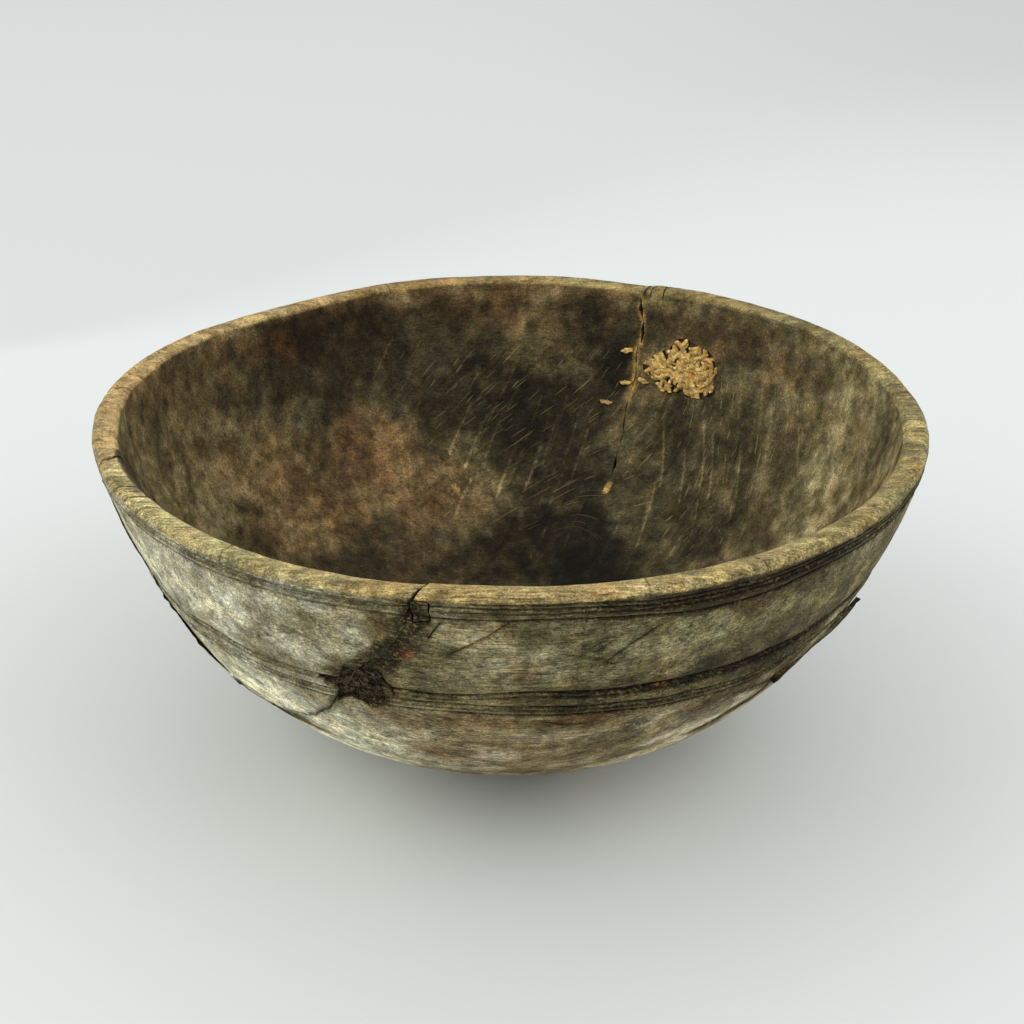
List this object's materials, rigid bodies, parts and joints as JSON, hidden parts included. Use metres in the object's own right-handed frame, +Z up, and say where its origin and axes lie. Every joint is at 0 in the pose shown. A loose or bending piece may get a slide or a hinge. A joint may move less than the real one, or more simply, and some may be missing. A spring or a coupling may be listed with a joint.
{
  "type": "carved wooden bowl",
  "caption": "Deep round bowl carved from one log, with a rounded rim and two bands of carved lines, broken at the rim and mended.",
  "frame": {"origin": "middle of the worn base, on the surface that the bowl stands on", "axes": "+Z up along the bowl's axis to the rim, -Y towards the front, with the broken-out piece at the front left"},
  "size_m": [0.38, 0.38, 0.16],
  "materials": {
    "bowl_wood": "weathered, oiled inside, dry outside",
    "fragment_wood": "weathered, pale and dry",
    "gum": "dull, dried gum",
    "chip_wood": "worn, dry",
    "dark_fill": "crumbly, dull",
    "pale_filling": "lumpy, dry",
    "splinter_wood": "rough, split",
    "red_splinter_wood": "rough, split"
  },
  "bodies": {
    "root": {"bowl_body": "bowl_wood", "wall_fragment": "fragment_wood", "fragment_gum_seam": "gum", "rim_chip": "chip_wood", "dark_fill": "dark_fill", "pale_patch": "pale_filling", "left_splinter": "splinter_wood", "right_splinter_upper": "splinter_wood", "right_splinter_lower": "red_splinter_wood"}
  },
  "joints": []
}
